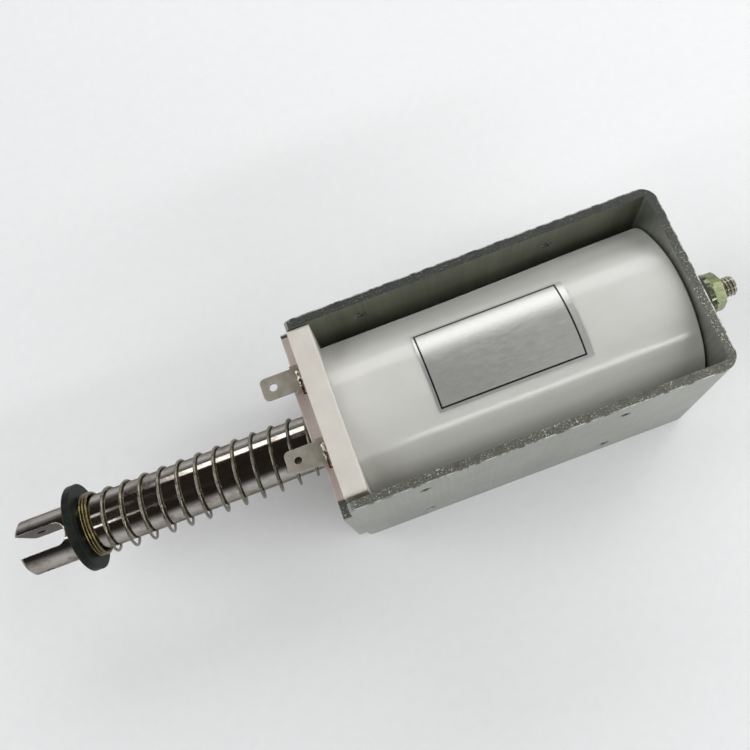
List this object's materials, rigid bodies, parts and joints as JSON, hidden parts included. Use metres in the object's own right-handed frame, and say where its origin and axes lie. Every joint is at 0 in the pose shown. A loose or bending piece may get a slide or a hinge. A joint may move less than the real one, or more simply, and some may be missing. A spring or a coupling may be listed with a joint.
{
  "type": "push pull solenoid",
  "caption": "Open-frame linear solenoid: a sprung round plunger with a forked end slides through a wrapped coil in a folded steel frame and drives a threaded rod out at the back.",
  "frame": {"origin": "on the plunger's axis, at the outer face of the front plate", "axes": "+X along the plunger from the fork to the threaded rod end, +Z out of the frame's open side, where the terminals are, +Y across the frame, right-handed"},
  "size_m": [0.2156, 0.054, 0.054],
  "materials": {
    "zinc_sheet": "matt grey zinc plating with drawn streaks",
    "zinc_plate": "matt grey zinc plating, sheared edges",
    "white_moulding": "warm white moulded plastic",
    "brass_tube": "drawn brass",
    "enamelled_copper": "enamelled copper wire",
    "white_tape": "glossy white insulating wrap",
    "foil": "satin silver foil",
    "core_steel": "turned soft iron",
    "tinned_brass": "dull tin plating",
    "lead_wire": "enamelled copper",
    "solder": "bright solder",
    "spring_wire": "dark drawn spring wire",
    "nickel_plating": "bright nickel plating",
    "black_oxide": "black oxide with an oily green sheen",
    "spring_steel": "dark spring steel",
    "rod_steel": "rolled thread, dull yellow zinc",
    "bumper_rubber": "black rubber",
    "yellow_zinc": "olive yellow zinc plating"
  },
  "bodies": {
    "frame": {"u_frame": "zinc_sheet", "front_plate": "zinc_plate", "bobbin": "white_moulding", "guide_tube": "brass_tube", "winding": "enamelled_copper", "coil_wrap": "white_tape", "label": "foil", "fixed_core": "core_steel", "terminal_near": "tinned_brass", "terminal_far": "tinned_brass", "lead_near": "lead_wire", "lead_far": "lead_wire", "solder_near": "solder", "solder_far": "solder", "return_spring": "spring_wire"},
    "plunger": {"plunger": "nickel_plating", "spring_seat": "black_oxide", "snap_ring": "spring_steel", "push_rod": "rod_steel", "bumper": "bumper_rubber", "stop_washer": "yellow_zinc", "stop_nut": "yellow_zinc"}
  },
  "joints": [
    {"name": "plunger_slide", "type": "slide", "parent": "frame", "child": "plunger", "axis": [1, 0, 0], "range_m": [0, 0.03], "stiffness_N_per_m": 60, "springref_m": -0.02, "deforming": ["return_spring"]}
  ]
}
